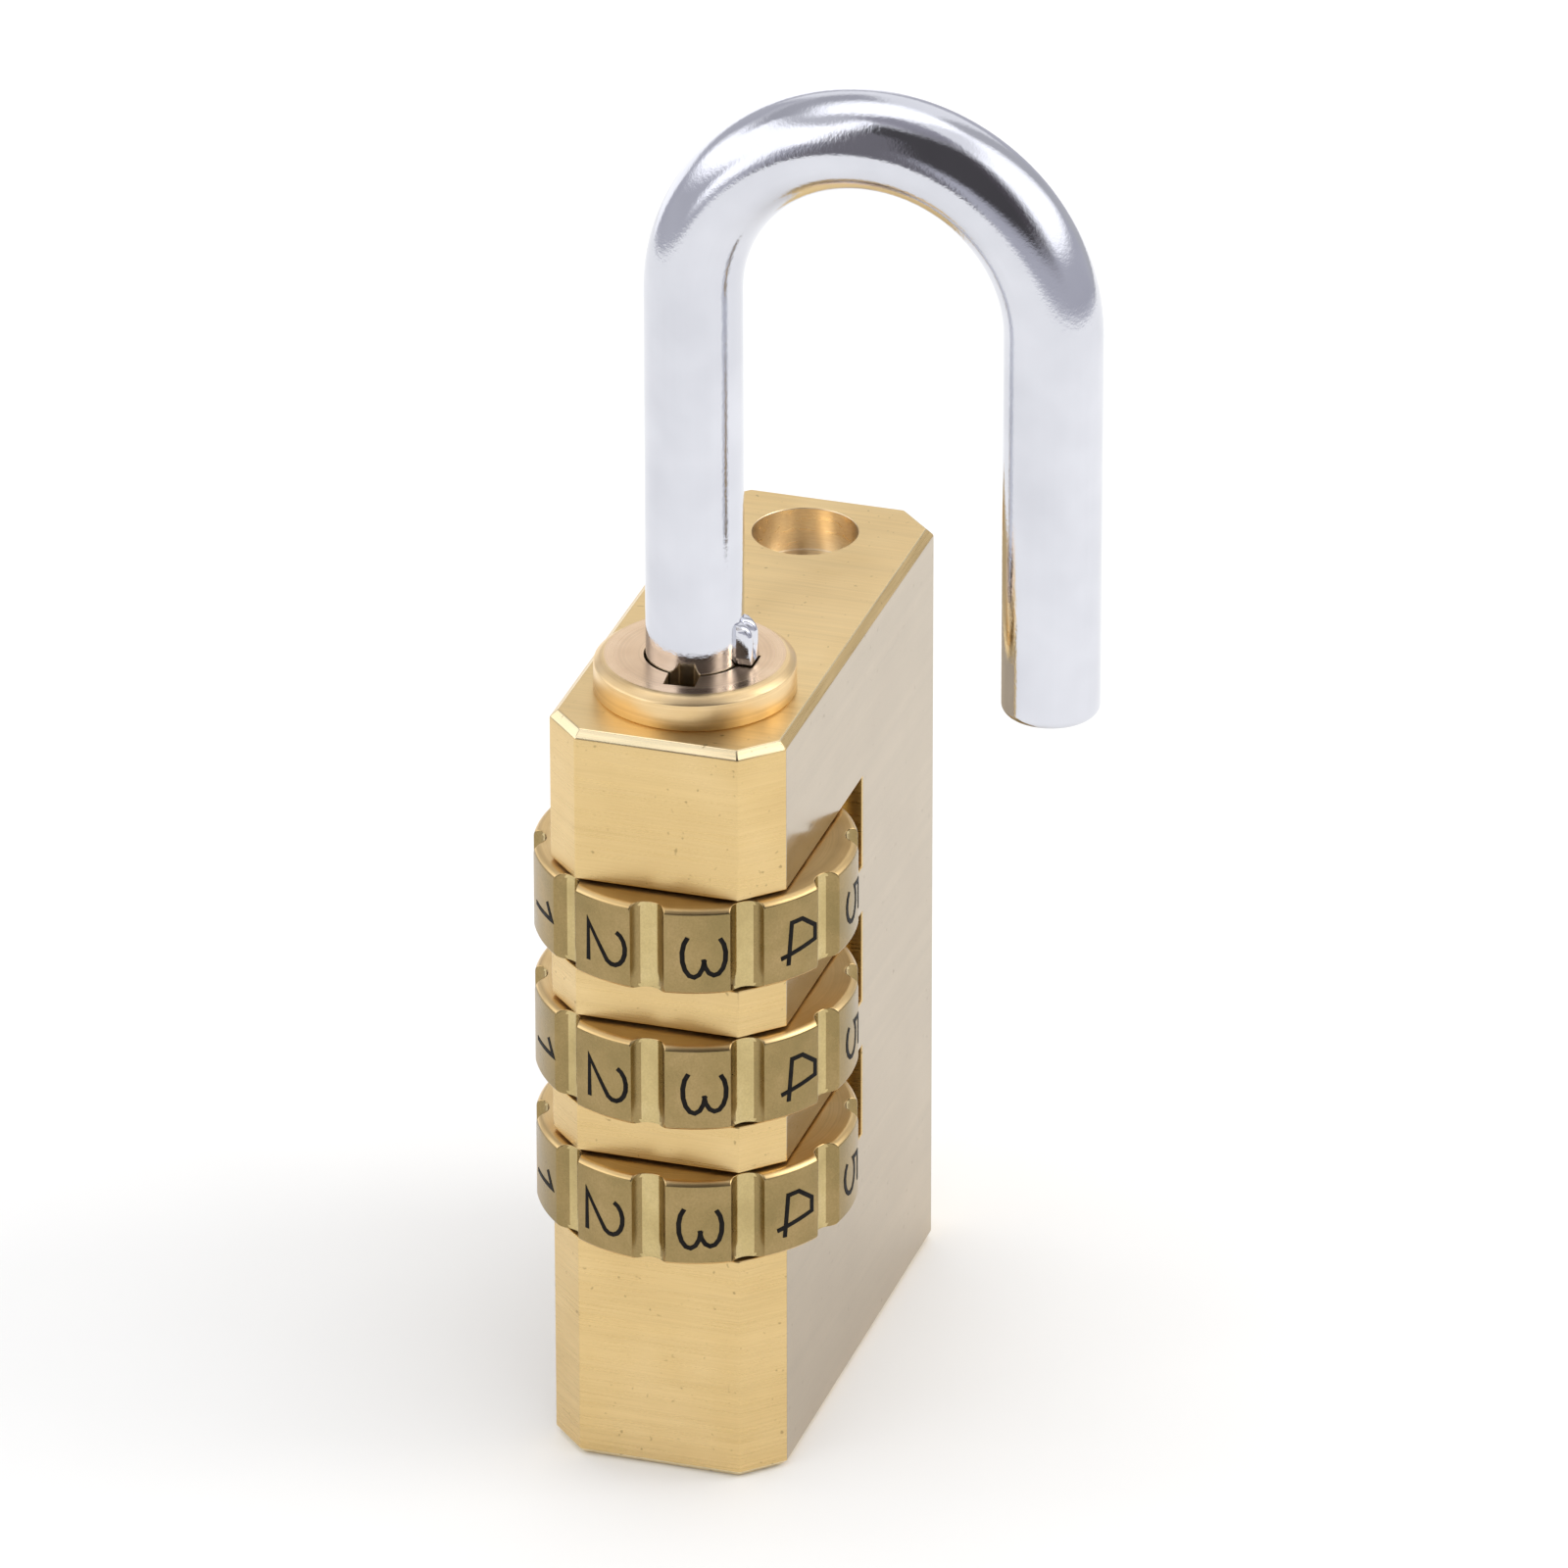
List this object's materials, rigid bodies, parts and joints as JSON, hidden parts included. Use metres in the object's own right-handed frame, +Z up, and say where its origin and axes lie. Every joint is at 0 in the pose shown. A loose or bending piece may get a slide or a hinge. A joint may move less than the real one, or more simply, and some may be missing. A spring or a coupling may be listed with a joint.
{
  "type": "combination padlock",
  "caption": "Open dial padlock: a bevelled bar body with stacked numbered rings turning in side slots, a flanged collar and a raised shackle swung a quarter turn.",
  "frame": {"origin": "centre of the body's flat bottom face", "axes": "+Z up along the body's height, towards the shackle's bend; +X along the body's width, from the dial end to the toe hole; +Y through its thickness"},
  "size_m": [0.0313, 0.0295, 0.0759],
  "materials": {
    "brass_body": "brushed bar brass, fine straight lines along the width",
    "brass_collar": "turned, fine concentric tool marks",
    "brass_dial": "darker satin brass with burnished rims",
    "ring_brass": "turned",
    "shackle_chrome": "bright chrome over hardened steel",
    "spring_steel": "bright spring steel",
    "black_enamel": "matt black paint in the engraved lines"
  },
  "bodies": {
    "case": {"case": "brass_body", "collar": "brass_collar", "stop_washer": "spring_steel", "reset_wave_spring": "spring_steel", "ring_spacer_upper": "ring_brass", "ring_spacer_lower": "ring_brass", "lift_spring": "spring_steel", "detent_spring_top": "spring_steel", "detent_spring_middle": "spring_steel", "detent_spring_bottom": "spring_steel"},
    "carriage": {"spring_follower": "spring_steel"},
    "shackle": {"shackle": "shackle_chrome", "code_pin_top": "spring_steel", "code_pin_middle": "spring_steel", "code_pin_bottom": "spring_steel", "retaining_ring": "spring_steel"},
    "dial_top": {"dial_top": "brass_dial", "numerals_top": "black_enamel", "code_ring_top": "ring_brass"},
    "dial_middle": {"dial_middle": "brass_dial", "numerals_middle": "black_enamel", "code_ring_middle": "ring_brass"},
    "dial_bottom": {"dial_bottom": "brass_dial", "numerals_bottom": "black_enamel", "code_ring_bottom": "ring_brass"}
  },
  "joints": [
    {"name": "shackle_lift", "type": "slide", "parent": "case", "child": "carriage", "axis": [0, 0, 1], "range_m": [-0.0035, 0], "stiffness_N_per_m": 1400, "springref_m": 0.003, "deforming": ["lift_spring"]},
    {"name": "shackle_turn", "type": "hinge", "parent": "carriage", "child": "shackle", "pos_m": [-0.0082, 0, 0.05], "axis": [0, 0, 1], "continuous": true},
    {"name": "dial_top_turn", "type": "hinge", "parent": "case", "child": "dial_top", "pos_m": [-0.0082, 0, 0.0309], "axis": [0, 0, 1], "continuous": true, "deforming": ["detent_spring_top"]},
    {"name": "dial_middle_turn", "type": "hinge", "parent": "case", "child": "dial_middle", "pos_m": [-0.0082, 0, 0.02311], "axis": [0, 0, 1], "continuous": true, "deforming": ["detent_spring_middle"]},
    {"name": "dial_bottom_turn", "type": "hinge", "parent": "case", "child": "dial_bottom", "pos_m": [-0.0082, 0, 0.01532], "axis": [0, 0, 1], "continuous": true, "deforming": ["detent_spring_bottom"]}
  ]
}
